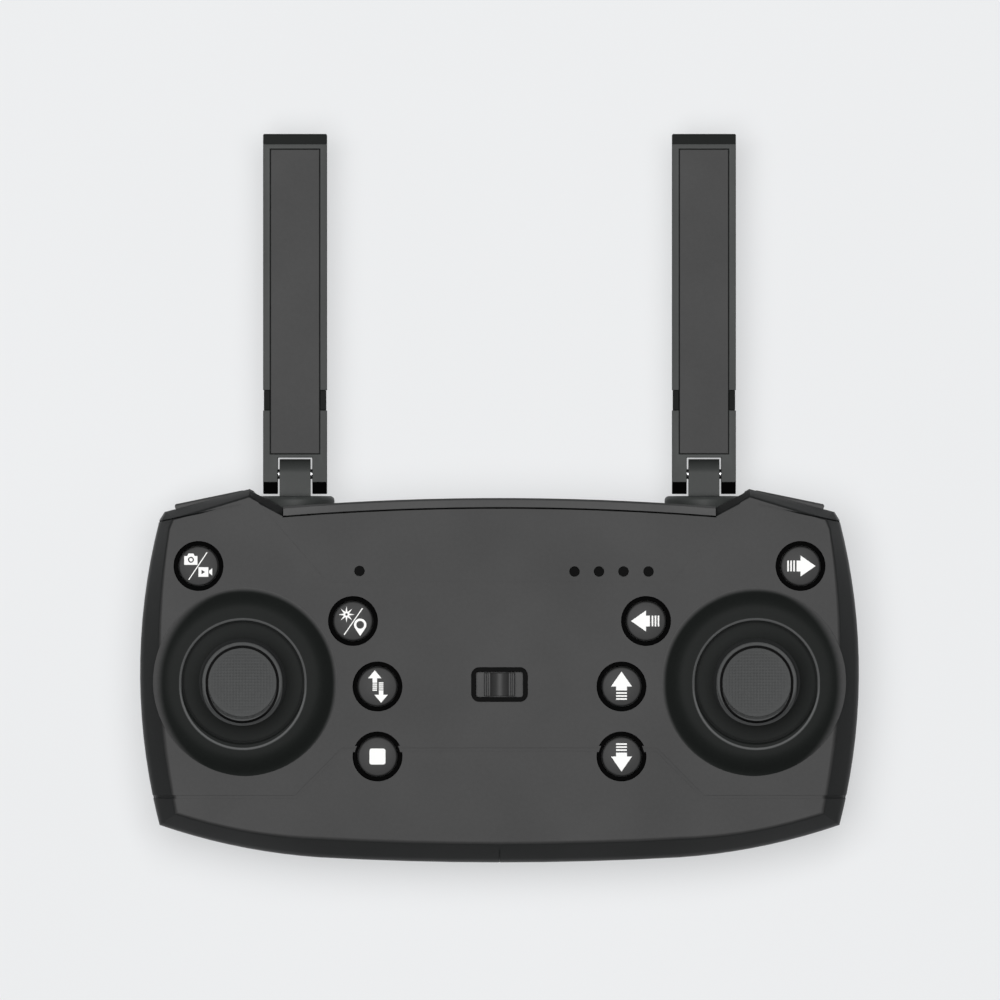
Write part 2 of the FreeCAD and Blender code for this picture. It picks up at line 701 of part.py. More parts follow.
def stick_dome():
    """Thin ball segment on the shaft that closes the well at every tilt."""
    pivot = Vector(STICK_X, STICK_Y, PIVOT_Z)
    ball = Part.makeSphere(DOME_RADIUS, pivot).cut(Part.makeSphere(DOME_RADIUS - 1.0, pivot))
    reach = 2 * DOME_RADIUS
    spread = reach * math.tan(math.radians(DOME_EDGE_ANGLE))
    cone = Part.makeCone(0.0, spread, reach, pivot, Vector(0, 0, 1))
    return ball.common(cone).cut(cylinder(SHAFT_RADIUS, (PIVOT_Z, 40.0), STICK_X, STICK_Y))


def stick_shaft():
    """Upright shaft with a cross hub whose two pins turn in the yoke."""
    hub_axis = (Vector(STICK_X, STICK_Y - 4.7, PIVOT_Z), Vector(STICK_X, STICK_Y + 4.7, PIVOT_Z))
    pin_axis = (Vector(STICK_X, STICK_Y - 6.4, PIVOT_Z), Vector(STICK_X, STICK_Y + 6.4, PIVOT_Z))
    shaft = cylinder(SHAFT_RADIUS, (PIVOT_Z, CAP_LOW_Z + 2.0), STICK_X, STICK_Y)
    return fuse_all([rod(2.6, *hub_axis), rod(PIN_RADIUS, *pin_axis), shaft])


def stick_cap():
    """Thumb cap: wide collar, raised ring, groove and a dished pad."""
    dish = []
    for share in (1.0, 0.75, 0.5, 0.25, 0.0):
        dish.append((CAP_PAD_RADIUS * share, CAP_TOP_Z - 0.15 - CAP_PAD_DISH * (1 - share ** 2)))
    groove_z = CAP_TOP_Z - CAP_GROOVE_DEPTH
    profile = [
        (0.0, CAP_LOW_Z + 2.0), (SHAFT_RADIUS, CAP_LOW_Z + 2.0), (SHAFT_RADIUS, CAP_LOW_Z + 0.3),
        (3.4, CAP_LOW_Z), (CAP_COLLAR_RADIUS - 0.6, CAP_LOW_Z), (CAP_COLLAR_RADIUS, CAP_LOW_Z + 0.5),
        (CAP_COLLAR_RADIUS, CAP_LOW_Z + 1.2), (CAP_COLLAR_RADIUS - 0.3, CAP_LOW_Z + 1.6),
        (CAP_RADIUS, CAP_LOW_Z + 1.9), (CAP_RADIUS, CAP_TOP_Z - 0.25), (CAP_RADIUS - 0.15, CAP_TOP_Z - 0.05),
        (CAP_RADIUS - 0.3, CAP_TOP_Z), (CAP_GROOVE_RADIUS + 0.1, CAP_TOP_Z - 0.05),
        (CAP_GROOVE_RADIUS, CAP_TOP_Z - 0.2), (CAP_GROOVE_RADIUS, groove_z),
        (CAP_PAD_RADIUS + 0.05, groove_z),
    ]
    return turned(profile + dish, STICK_X, STICK_Y)


def at_stick(x, y, z):
    """Point given from the right stick's pivot."""
    return Vector(STICK_X + x, STICK_Y + y, PIVOT_Z + z)


def gimbal_housing():
    """Open box with bearing holes in its four walls and posts up to the front shell."""
    inner = HOUSING_HALF - HOUSING_WALL
    floor_z = HOUSING_Z[0] + HOUSING_WALL
    inside = box_round(STICK_X, STICK_Y, inner, (floor_z, INNER_FACE_Z))
    pieces = [box_round(STICK_X, STICK_Y, HOUSING_HALF, HOUSING_Z)]
    for x in (-POST_REACH, POST_REACH):
        for y in (-POST_REACH, POST_REACH):
            pieces.append(cylinder(POST_RADIUS, (HOUSING_Z[0], INNER_FACE_Z), STICK_X + x, STICK_Y + y))
    bore = PIN_RADIUS + PIN_CLEARANCE
    pitch_bore = rod(bore, at_stick(-20, 0, 0), at_stick(20, 0, 0))
    roll_bore = rod(bore, at_stick(0, -20, 0), at_stick(0, 20, 0))
    return cut_all(fuse_all(pieces), [inside, pitch_bore, roll_bore])


def gimbal_yoke():
    """Rectangular frame that tips the stick forwards and back on two pins."""
    frame = box((STICK_X - 7.5, STICK_X + 7.5), (STICK_Y - 6.5, STICK_Y + 6.5),
                (PIVOT_Z - 2.0, PIVOT_Z + 2.0))
    inside = box((STICK_X - 5.9, STICK_X + 5.9), (STICK_Y - 5.0, STICK_Y + 5.0),
                 (PIVOT_Z - 3.0, PIVOT_Z + 3.0))
    pins = [rod(PIN_RADIUS, at_stick(-15.0, 0, 0), at_stick(-7.0, 0, 0)),
            rod(PIN_RADIUS, at_stick(7.0, 0, 0), at_stick(12.0, 0, 0))]
    bore = rod(PIN_RADIUS + PIN_CLEARANCE, at_stick(0, -8, 0), at_stick(0, 8, 0))
    return fuse_all([frame.cut(inside).cut(bore)] + pins)


def gimbal_rocker():
    """Slotted arch over the yoke that the stick carries from side to side."""
    inner, outer = ROCKER_RADII
    arch = rod(outer, at_stick(-3.8, 0, 0), at_stick(3.8, 0, 0))
    arch = arch.cut(rod(inner, at_stick(-4, 0, 0), at_stick(4, 0, 0)))
    upper = box((STICK_X - 5, STICK_X + 5), (STICK_Y - 12, STICK_Y + 12), (PIVOT_Z - 1.6, PIVOT_Z + 12))
    slot_reach = inner * math.sin(math.radians(33.0))
    slot = box((STICK_X - 2.35, STICK_X + 2.35), (STICK_Y - slot_reach, STICK_Y + slot_reach),
               (PIVOT_Z + 4, PIVOT_Z + 12))
    pins = [rod(PIN_RADIUS, at_stick(0, -15.0, 0), at_stick(0, -9.6, 0)),
            rod(PIN_RADIUS, at_stick(0, 9.6, 0), at_stick(0, 14.4, 0))]
    return fuse_all([arch.common(upper).cut(slot)] + pins)


def gimbal_pots():
    """Two potentiometers, one for each way the stick tilts."""
    bore = PIN_RADIUS + PIN_CLEARANCE
    middle = HOUSING_HALF + 0.05 + POT_DEPTH / 2
    half_depth = POT_DEPTH / 2
    z_span = (8.6, HOUSING_Z[1])
    side = box((STICK_X - middle - half_depth, STICK_X - middle + half_depth),
               (STICK_Y - POT_HALF, STICK_Y + POT_HALF), z_span)
    lower = box((STICK_X - POT_HALF, STICK_X + POT_HALF),
                (STICK_Y - middle - half_depth, STICK_Y - middle + half_depth), z_span)
    side = side.cut(rod(bore, at_stick(-17, 0, 0), at_stick(-11, 0, 0)))
    lower = lower.cut(rod(bore, at_stick(0, -17, 0), at_stick(0, -11, 0)))
    return [side, lower]


def gimbal_springs():
    """Coils round the yoke's and the rocker's pins that bring the stick back to the middle."""
    yoke_coil = coil(*SPRING_COIL, at_stick(8.1, 0, 0), Vector(1, 0, 0))
    rocker_coil = coil(*SPRING_COIL, at_stick(0, 12.4, 0), Vector(0, 1, 0))
    return [yoke_coil, rocker_coil]


# ---- Buttons, switches and lights ------------------------------------------------------------

def face_button(x, y):
    """Round key with a hidden flange that keeps it behind its collar."""
    profile = [
        (0.0, BUTTON_BASE_Z), (BUTTON_FLANGE_RADIUS, BUTTON_BASE_Z),
        (BUTTON_FLANGE_RADIUS, BUTTON_BASE_Z + 0.5), (BUTTON_RADIUS, BUTTON_BASE_Z + 0.5),
        (BUTTON_RADIUS, BUTTON_TOP_Z - 0.3), (BUTTON_RADIUS - 0.12, BUTTON_TOP_Z - 0.09),
        (BUTTON_RADIUS - 0.35, BUTTON_TOP_Z), (0.0, BUTTON_TOP_Z),
    ]
    return turned(profile, x, y)


def button_collar(x, y):
    """Soft black ring that fills the gap round a face button."""
    lip = ring(COLLAR_OUTER_RADIUS, COLLAR_INNER_RADIUS, (25.1, 27.2), x, y)
    flange = ring(COLLAR_FLANGE_RADIUS, COLLAR_INNER_RADIUS, (25.1, 25.95), x, y)
    return fuse_all([lip, flange])


def tact_switch(x, y):
    """Square push switch on the board under a face button."""
    body = box_round(x, y, 3.0, (BOARD_TOP, BOARD_TOP + 3.4))
    return fuse_all([body, cylinder(1.7, (BOARD_TOP + 3.0, BOARD_TOP + 4.4), x, y)])


def shoulder_button():
    """Long key that stands prouder at its outer end, with a flange inside and a stem to its switch."""
    low, high = SHOULDER_FLANGE_Y
    corners = [(SHOULDER_X[0], low), (SHOULDER_X[1], low),
               (SHOULDER_X[1], SHOULDER_RISE[1]), (SHOULDER_X[0], SHOULDER_RISE[0])]
    cap = prism(corners, *SHOULDER_Z)
    outer_face = max(cap.Faces, key=lambda face: face.CenterOfMass.y)
    cap = cap.makeFillet(0.45, outer_face.Edges)
    flange = grown_box(SHOULDER_X, (low, high), SHOULDER_Z, SHOULDER_FLANGE)
    stem = box((-6.0, -3.0), (SHOULDER_SWITCH_Y[1] + 2.0, low + 0.1), (19.4, 22.0))
    return shoulder_frame(fuse_all([cap, flange, stem]))


def shoulder_switch():
    """Side-push switch on the board behind a shoulder button."""
    low, high = SHOULDER_SWITCH_Y
    body = box((-7.0, -2.0), (low, high), (BOARD_TOP, BOARD_TOP + 3.4))
    plunger = rod(0.9, Vector(-4.5, high - 0.2, 20.7), Vector(-4.5, high + 0.8, 20.7))
    return shoulder_frame(fuse_all([body, plunger]))


def round_the_switch(width, height, z_span, radius):
    """Box with round corners and its middle at the power switch."""
    x_span = (-width / 2, width / 2)
    y_span = (SWITCH_Y - height / 2, SWITCH_Y + height / 2)
    return rounded_box(x_span, y_span, z_span, radius)


def power_switch_bezel():
    """Black frame round the power switch."""
    width, height = SWITCH_WINDOW
    flange = round_the_switch(*SWITCH_FRAME, (FACE_Z, FACE_Z + 0.4), 1.6)
    neck = round_the_switch(width + 0.4, height + 0.4, (27.45, FACE_Z + 0.1), 0.6)
    hole = round_the_switch(width, height, (27.0, FACE_Z + 1), 0.5)
    return fuse_all([flange, neck]).cut(hole)


def power_switch_knob():
    """Slider plate behind the frame, with a ribbed grip and a stem into the switch."""
    plate = box((-6.5, 6.5), (SWITCH_Y - 2.6, SWITCH_Y + 2.6), (26.3, 27.3))
    grip = box((-3.0, 3.0), (SWITCH_Y - 2.3, SWITCH_Y + 2.3), (27.0, 28.7))
    dish = rod(2.2, Vector(0, SWITCH_Y - 4, 29.9), Vector(0, SWITCH_Y + 4, 29.9))
    slots = [box((x - 0.2, x + 0.2), (SWITCH_Y - 4, SWITCH_Y + 4), (28.0, 29.0)) for x in (-2.45, 2.45)]
    stem = box((-0.9, 0.9), (SWITCH_Y - 0.6, SWITCH_Y + 0.6), (21.6, 26.5))
    return fuse_all([plate, cut_all(grip, [dish] + slots), stem])


def power_switch_body():
    """Slide switch on the board with a slot for the knob's stem."""
    body = box((-5.0, 5.0), (SWITCH_Y - 2.2, SWITCH_Y + 2.2), (BOARD_TOP, 23.4))
    slot = box((-2.8, 2.8), (SWITCH_Y - 0.9, SWITCH_Y + 0.9), (21.2, 24.0))
    return body.cut(slot)


def led_lens(x, y):
    """Small dark window in the face over a light."""
    return cylinder(LED_WINDOW_RADIUS, (24.8, FACE_Z - 0.35), x, y)


def led(x, y):
    """Round light on the board."""
    body = cylinder(LED_RADIUS, (BOARD_TOP, LED_TOP_Z), x, y)
    tip = Part.makeSphere(LED_RADIUS, Vector(x, y, LED_TOP_Z))
    return fuse_all([body, cylinder(LED_RADIUS + 0.3, (BOARD_TOP, BOARD_TOP + 0.8), x, y), tip])


# ---- Board -----------------------------------------------------------------------------------

def main_board():
    """T-shaped circuit board: a centre block and a strip along the top."""
    board = fuse_all([box((-34.0, 34.0), (-25.5, 28.4), BOARD_Z), box((-65.0, 65.0), (15.5, 28.4), BOARD_Z)])
    x, y = CASE_SCREWS[0]
    return cut_all(board, both(cylinder(BOSS_RADIUS + 0.4, (BOARD_Z[0] - 1, BOARD_TOP + 1), x, y)))


def board_chips():
    """Controller chip, radio module with its shield, crystal and two capacitors."""
    controller = box((-4.0, 4.0), (8.0, 16.0), (BOARD_TOP, BOARD_TOP + 1.2))
    radio = rounded_box((-22.0, -6.0), (14.5, 25.0), (BOARD_TOP, BOARD_TOP + 2.4), 0.6)
    crystal = rounded_box((6.5, 10.5), (10.0, 15.0), (BOARD_TOP, BOARD_TOP + 1.6), 0.8)
    capacitors = [cylinder(2.0, (BOARD_TOP, BOARD_TOP + 5.0), x, -21.5) for x in (-12.0, 12.0)]
    return [controller, radio, crystal] + capacitors


def buzzer():
    """Round sounder with a hole in its top."""
    can = cylinder(4.5, (BOARD_TOP, BOARD_TOP + 4.5), 0.0, BUZZER_Y)
    return can.cut(cylinder(0.8, (22.0, 24.0), 0.0, BUZZER_Y))


# ---- Antennas --------------------------------------------------------------------------------

def at_antenna(x, y, z=0.0):
    """Point given across and above the antenna's swivel axis, at its own distance along it."""
    return Vector(ANTENNA_X + x, y, ANTENNA_Z + z)


def along_x(profile, x_span):
    """Prism along X over a closed list of (y, z) points."""
    corners = [Vector(x_span[0], y, z) for y, z in profile]
    return Part.Face(Part.makePolygon(corners + corners[:1])).extrude(Vector(x_span[1] - x_span[0], 0, 0))


def antenna_turntable():
    """Disc that swivels on the top edge, with a tongue for the blade and a stem into the case."""
    low = at_antenna(0, DISC_Y[0])
    disc = rod(DISC_RADIUS, low, at_antenna(0, DISC_Y[1]))
    top_edges = [edge for edge in disc.Edges if abs(edge.CenterOfMass.y - DISC_Y[1]) < 1e-6]
    disc = disc.makeFillet(0.9, top_edges)
    stem = rod(STEM_RADIUS, at_antenna(0, 28.8), low + Vector(0, 0.5, 0))
    groove = rod(STEM_RADIUS + 0.5, at_antenna(0, 29.6), at_antenna(0, 30.8))
    groove = groove.cut(rod(3.0, at_antenna(0, 29.0), at_antenna(0, 31.0)))
    x_span = (ANTENNA_X - TONGUE_WIDTH / 2, ANTENNA_X + TONGUE_WIDTH / 2)
    post = box(x_span, (DISC_Y[1] - 0.5, FOLD_Y), (ANTENNA_Z - TONGUE_RADIUS, ANTENNA_Z + TONGUE_RADIUS))
    eye = rod(TONGUE_RADIUS, at_antenna(-TONGUE_WIDTH / 2, FOLD_Y), at_antenna(TONGUE_WIDTH / 2, FOLD_Y))
    bore = rod(PIN_RADIUS + 0.05, at_antenna(-TONGUE_WIDTH, FOLD_Y), at_antenna(TONGUE_WIDTH, FOLD_Y))
    return fuse_all([disc, stem.cut(groove), post, eye]).cut(bore)


def turntable_clip():
    """Open ring in the stem's groove that keeps the turntable in the case."""
    low = at_antenna(0, 29.7)
    high = at_antenna(0, 30.7)
    clip = rod(5.2, low, high).cut(rod(3.0, low, high))
    mouth = box((ANTENNA_X - 1.8, ANTENNA_X + 1.8), (29.0, 31.0), (ANTENNA_Z - 6.0, ANTENNA_Z))
    return clip.cut(mouth)


def antenna_frame():
    """Blade with a fork at its foot, a recess for the front panel and side notches."""
    z_low = ANTENNA_Z - BLADE_HALF_THICKNESS
    z_high = ANTENNA_Z + BLADE_HALF_THICKNESS
    half = BLADE_WIDTH / 2
    profile = [
        (BLADE_FOOT_Y, z_low), (BLADE_TOP_Y, z_low), (BLADE_TOP_Y, z_high),
        (FOLD_Y - 1.6, z_high), (BLADE_FOOT_Y, ANTENNA_Z + 0.7),
    ]
    blade = along_x(profile, (ANTENNA_X - half, ANTENNA_X + half))
    fork_x = (ANTENNA_X - FORK_WIDTH / 2, ANTENNA_X + FORK_WIDTH / 2)
    fork = box(fork_x, (30.0, FORK_TOP_Y), (z_low - 1, z_high + 1))
    panel_x = (ANTENNA_X - PANEL_WIDTH / 2, ANTENNA_X + PANEL_WIDTH / 2)
    front = box(panel_x, PANEL_Y, (z_high - 1.0, z_high + 1))
    back = box((panel_x[0] + 1, panel_x[1] - 1), (PANEL_Y[0] + 2, PANEL_Y[1] - 2), (z_low - 1, z_low + 0.5))
    pin_hole = rod(PIN_RADIUS + 0.02, at_antenna(-10, FOLD_Y), at_antenna(10, FOLD_Y))
    notches = []
    for side in (-1, 1):
        x_span = sorted((ANTENNA_X + side * (half - NOTCH_WIDTH), ANTENNA_X + side * (half + 1)))
        notches.append(box(x_span, NOTCH_Y, (z_low - 1, z_high + 1)))
    return cut_all(blade, [fork, front, back, pin_hole] + notches)


def antenna_panel():
    """Thin cover in the blade's front recess, a little below its rim."""
    z_high = ANTENNA_Z + BLADE_HALF_THICKNESS
    gap = 0.1
    x_span = (ANTENNA_X - PANEL_WIDTH / 2 + gap, ANTENNA_X + PANEL_WIDTH / 2 - gap)
    return box(x_span, (PANEL_Y[0] + gap, PANEL_Y[1] - gap), (z_high - 1.0, z_high - 0.4))


def antenna_tip():
    """Dark cap on the blade's end."""
    half = BLADE_WIDTH / 2
    tip = box((ANTENNA_X - half, ANTENNA_X + half), (BLADE_TOP_Y, TIP_TOP_Y),
              (ANTENNA_Z - BLADE_HALF_THICKNESS, ANTENNA_Z + BLADE_HALF_THICKNESS))
    top_edges = [edge for edge in tip.Edges if abs(edge.CenterOfMass.y - TIP_TOP_Y) < 1e-6]
    return tip.makeFillet(0.3, top_edges)


def antenna_pads():
    """Two dark pads in the blade's side notches."""
    half = BLADE_WIDTH / 2
    pads = []
    for side in (-1, 1):
        x_span = sorted((ANTENNA_X + side * (half - NOTCH_WIDTH), ANTENNA_X + side * (half - 0.15)))
        pads.append(box(x_span, NOTCH_Y, (ANTENNA_Z - 2.3, ANTENNA_Z + 2.3)))
    return pads


def antenna_pin():
    """Hinge pin across the fork and the tongue."""
    reach = BLADE_WIDTH / 2 - 0.2
    return rod(PIN_RADIUS, at_antenna(-reach, FOLD_Y), at_antenna(reach, FOLD_Y))


# ---- The whole controller --------------------------------------------------------------------

def build():
    """Writes every node."""
    os.makedirs("parts", exist_ok=True)

    half = front_half()
    save("front_shell", front_shell(half))
    save("top_bar", top_bar(half))
    save("rear_shell", rear_shell())
    save("case_screws", case_screws())
    save("battery_door", battery_door())
    save("battery_door_screw", screw(0.0, DOOR_SCREW_Y, DOOR_SCREW_SEAT_Z, DOOR_SCREW_TIP_Z, 0.8))

    save("battery_cells", battery_cells())
    save("battery_contacts", battery_contacts())
    save("battery_lead_red", battery_lead(1))
    save("battery_lead_black", battery_lead(-1))

    save("stick_bezels", both(stick_bezel(case_solid(0.0))))
    save("gimbal_housings", both(gimbal_housing()))
    save("gimbal_pots", [twin for pot in gimbal_pots() for twin in both(pot)])
    save("gimbal_springs", [twin for spring in gimbal_springs() for twin in both(spring)])
    save_pair("gimbal_yoke", gimbal_yoke())
    save_pair("gimbal_rocker", gimbal_rocker())
    save_pair("stick_shaft", stick_shaft())
    save_pair("stick_dome", stick_dome())
    save_pair("stick_cap", stick_cap())

    for name, spot in BUTTONS.items():
        save(name, face_button(*spot))
    save("button_collars", [button_collar(*spot) for spot in BUTTONS.values()])
    save("tact_switches", [tact_switch(*spot) for spot in BUTTONS.values()])
    save_pair("shoulder_button", shoulder_button())
    save("shoulder_switches", both(shoulder_switch()))
    save("power_switch_bezel", power_switch_bezel())
    save("power_switch_knob", power_switch_knob())
    save("power_switch_body", power_switch_body())
    save("led_lenses", [led_lens(*spot) for spot in LED_SPOTS])
    save("leds", [led(*spot) for spot in LED_SPOTS])

    save("main_board", main_board())
    save("board_chips", board_chips())
    save("buzzer", buzzer())

    save_pair("antenna_turntable", antenna_turntable())
    save_pair("turntable_clip", turntable_clip())
    save_pair("antenna_frame", antenna_frame())
    save_pair("antenna_panel", antenna_panel())
    save_pair("antenna_tip", antenna_tip())
    save_pair("antenna_pads", antenna_pads())
    save_pair("antenna_pin", antenna_pin())


build()
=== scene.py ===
import bpy
import math
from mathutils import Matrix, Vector


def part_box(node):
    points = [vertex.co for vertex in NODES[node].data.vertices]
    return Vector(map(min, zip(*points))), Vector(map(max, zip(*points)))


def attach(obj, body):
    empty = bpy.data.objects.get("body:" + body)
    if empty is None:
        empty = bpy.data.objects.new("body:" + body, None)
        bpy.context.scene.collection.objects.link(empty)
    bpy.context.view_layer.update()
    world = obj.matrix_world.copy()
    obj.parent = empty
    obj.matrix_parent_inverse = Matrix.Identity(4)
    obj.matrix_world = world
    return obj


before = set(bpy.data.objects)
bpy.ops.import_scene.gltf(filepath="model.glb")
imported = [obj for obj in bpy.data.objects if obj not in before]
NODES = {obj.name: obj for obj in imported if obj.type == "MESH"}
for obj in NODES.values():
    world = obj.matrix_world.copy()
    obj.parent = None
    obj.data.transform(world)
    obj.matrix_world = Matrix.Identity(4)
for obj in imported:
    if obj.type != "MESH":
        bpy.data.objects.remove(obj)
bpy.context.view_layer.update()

# Looks of a hand-held radio transmitter with two thumb sticks and two folding antennas.
# Everything is in metres, in the frame of the CAD model: Z points out of the front face.

MM = 0.001
SIDES = ("left", "right")


def centre_of(node):
    """Middle of a CAD node's box."""
    low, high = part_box(node)
    return (Vector(low) + Vector(high)) / 2


# ---- Materials -------------------------------------------------------------------------------

def linear(level):
    """Linear value of a display level from 0 to 255."""
    share = level / 255
    return share / 12.92 if share <= 0.04045 else ((share + 0.055) / 1.055) ** 2.4


def colour(red, green, blue):
    """Linear colour with full alpha from display levels."""
    return (linear(red), linear(green), linear(blue), 1.0)


class Nodes:
    """Small helper that builds one node material."""

    def __init__(self, name):
        self.material = bpy.data.materials.new(name)
        self.material.use_nodes = True
        self.tree = self.material.node_tree
        self.shader = self.tree.nodes["Principled BSDF"]
        coordinates = self.tree.nodes.new("ShaderNodeTexCoord")
        self.place = coordinates.outputs["Object"]

    def add(self, kind, **inputs):
        """A new node, with the values of its sockets."""
        node = self.tree.nodes.new(kind)
        for socket, value in inputs.items():
            node.inputs[socket.replace("_", " ")].default_value = value
        return node

    def link(self, source, target):
        self.tree.links.new(source, target)

    def noise(self, scale, detail=3.0, roughness=0.5):
        """Noise that keeps its size in metres."""
        node = self.add("ShaderNodeTexNoise", Scale=scale, Detail=detail, Roughness=roughness)
        self.link(self.place, node.inputs["Vector"])
        return node.outputs["Fac"]

    def ramp(self, source, stops):
        """Colour ramp over (position, colour) stops."""
        node = self.tree.nodes.new("ShaderNodeValToRGB")
        for index, (position, value) in enumerate(stops):
            elements = node.color_ramp.elements
            element = elements[index] if index < 2 else elements.new(position)
            element.position = position
            element.color = value
        self.link(source, node.inputs["Fac"])
        return node.outputs["Color"]

    def reach(self, centre):
        """Distance in metres from an upright axis, the same for a left axis and its right twin."""
        source = self.place
        for operation, second in (("ABSOLUTE", None), ("SUBTRACT", (*centre, 0)), ("MULTIPLY", (1, 1, 0)),
                                  ("LENGTH", None)):
            node = self.tree.nodes.new("ShaderNodeVectorMath")
            node.operation = operation
            self.link(source, node.inputs[0])
            if second is not None:
                node.inputs[1].default_value = second
            source = node.outputs[0]
        return node.outputs[1]

    def between(self, source, start, end):
        """0 up to the start of a range and 1 from its end, smooth in the middle."""
        node = self.add("ShaderNodeMapRange", From_Min=start, From_Max=end)
        node.interpolation_type = "SMOOTHSTEP"
        self.link(source, node.inputs["Value"])
        return node.outputs["Result"]

    def spread(self, source, low, high):
        """Maps 0.3..0.7 of a noise to a range of values."""
        node = self.add("ShaderNodeMapRange", From_Min=0.3, From_Max=0.7, To_Min=low, To_Max=high)
        self.link(source, node.inputs["Value"])
        return node.outputs["Result"]

    def plain(self, value):
        """A colour as a socket."""
        node = self.tree.nodes.new("ShaderNodeRGB")
        node.outputs[0].default_value = value
        return node.outputs[0]

    def brighten(self, source, factor):
        """A colour socket times a number or a number socket."""
        node = self.tree.nodes.new("ShaderNodeVectorMath")
        node.operation = "SCALE"
        self.link(source, node.inputs[0])
        if isinstance(factor, bpy.types.NodeSocket):
            self.link(factor, node.inputs["Scale"])
        else:
            node.inputs["Scale"].default_value = factor
        return node.outputs["Vector"]

    def mix(self, factor, first, second):
        """Blend of two colours or colour sockets."""
        node = self.tree.nodes.new("ShaderNodeMix")
        node.data_type = "RGBA"
        sockets = {"Factor": node.inputs[0], "A": node.inputs[6], "B": node.inputs[7]}
        for key, value in (("Factor", factor), ("A", first), ("B", second)):
            if isinstance(value, bpy.types.NodeSocket):
                self.link(value, sockets[key])
            else:
                sockets[key].default_value = value
        return node.outputs[2]

    def bump(self, height, distance, strength=1.0, below=None):
        """Bump of a height in metres, over an earlier bump if there is one."""
        node = self.add("ShaderNodeBump", Distance=distance, Strength=strength)
        self.link(height, node.inputs["Height"])
        if below is not None:
            self.link(below, node.inputs["Normal"])
        return node.outputs["Normal"]


# Bands round a stick's axis, as (start, end) distances in metres
# The rim bands place a painted highlight on a ring's rim, and the foot bands painted light on the ring's
# foot, wider on its outer side
RIM_HIGHLIGHT_INNER_BAND = (0.01220, 0.01240)
RIM_HIGHLIGHT_OUTER_BAND = (0.01255, 0.01285)
FOOT_LIGHT_BAND = (0.0178, 0.0189)
SIDE_FOOT_LIGHT_BAND = (0.0188, 0.0206)
SIDE_FOOT_LIGHT_SHIFT = 0.003
# The cap bands bound a groove and a collar that are darkened with painted shade
PAD_TO_GROOVE_SHADE_BAND = (0.00675, 0.00685)
GROOVE_SHADE_TO_RING_BAND = (0.00726, 0.00736)
COLLAR_SHADE_BAND = (0.00796, 0.00806)

# Range of the upward part of a normal over which the case turns from its walls to its slopes, which carry
# painted shade, and to its face
WALL_TO_SLOPE = (0.15, 0.45)
SLOPE_TO_FACE = (0.66, 0.98)

# Mould grain, and the range of edge sharpness over which an edge is rubbed
GRAIN = 0.00022
RUBBED_EDGES = (0.56, 0.68)


def shade(base, factor):
    """A colour made lighter or darker."""
    return tuple(min(1.0, channel * factor) for channel in base[:3]) + (1.0,)


def moulded(kit, base, roughness, depth=0.000008, specular=0.3, wear=1.3):
    """Moulded surface over a colour socket: fine grain, slow patches of shade and gloss, rubbed edges."""
    patches = kit.noise(55.0, detail=4.0)
    fine = kit.noise(1.0 / GRAIN, detail=2.0, roughness=0.6)
    specks = kit.noise(1400.0, detail=2.0)
    edges = kit.tree.nodes.new("ShaderNodeNewGeometry").outputs["Pointiness"]
    rubbed = kit.between(edges, *RUBBED_EDGES)
    patchy = kit.brighten(base, kit.spread(patches, 0.96, 1.04))
    speckled = kit.brighten(patchy, kit.spread(specks, 0.97, 1.05))
    worn = kit.mix(rubbed, speckled, kit.brighten(speckled, wear))
    kit.link(worn, kit.shader.inputs["Base Color"])
    kit.link(kit.spread(patches, roughness - 0.03, roughness + 0.03), kit.shader.inputs["Roughness"])
    kit.shader.inputs["Specular IOR Level"].default_value = specular
    kit.link(kit.bump(fine, depth), kit.shader.inputs["Normal"])
    return kit.material


def moulded_plastic(name, base, roughness, **look):
    """Moulded plastic of one colour."""
    kit = Nodes(name)
    return moulded(kit, kit.plain(base), roughness, **look)


def shell_plastic_with_slope_shade(name, face, slope_shade, roughness, specular):
    """Plastic of the case, with painted shade that darkens the slopes between its face and its walls."""
    kit = Nodes(name)
    split = kit.tree.nodes.new("ShaderNodeSeparateXYZ")
    kit.link(kit.tree.nodes.new("ShaderNodeNewGeometry").outputs["Normal"], split.inputs["Vector"])
    # Painted shade: facets whose normal points partly up, the slopes, get the darker colour
    shaded_past_wall = kit.mix(kit.between(split.outputs["Z"], *WALL_TO_SLOPE), face, slope_shade)
    base = kit.mix(kit.between(split.outputs["Z"], *SLOPE_TO_FACE), shaded_past_wall, face)
    return moulded(kit, base, roughness, specular=specular, wear=1.0)


def bezel_plastic(name, ring, rim, foot, roughness):
    """Dark plastic of a stick's ring with a painted highlight on its rim and painted light on its pale
    foot, which reaches wider on the outer side.
    """
    kit = Nodes(name)
    reach = kit.reach(STICK_AXIS)
    rim_highlight_inner_edge = kit.between(reach, *RIM_HIGHLIGHT_INNER_BAND)
    rim_highlight_outer_edge = kit.between(reach, *RIM_HIGHLIGHT_OUTER_BAND)
    # Painted highlight on the rim of the ring
    crest_with_rim_highlight = kit.mix(rim_highlight_outer_edge, kit.mix(rim_highlight_inner_edge, ring, rim), ring)
    side_axis = (STICK_AXIS[0] - SIDE_FOOT_LIGHT_SHIFT, STICK_AXIS[1])
    outer_side_light = kit.between(kit.reach(side_axis), *SIDE_FOOT_LIGHT_BAND)
    # Painted light on the ring's foot, wider on the outer side
    base = kit.mix(outer_side_light, kit.mix(kit.between(reach, *FOOT_LIGHT_BAND), crest_with_rim_highlight, foot), foot)
    return moulded(kit, base, roughness, specular=0.05, wear=1.0)


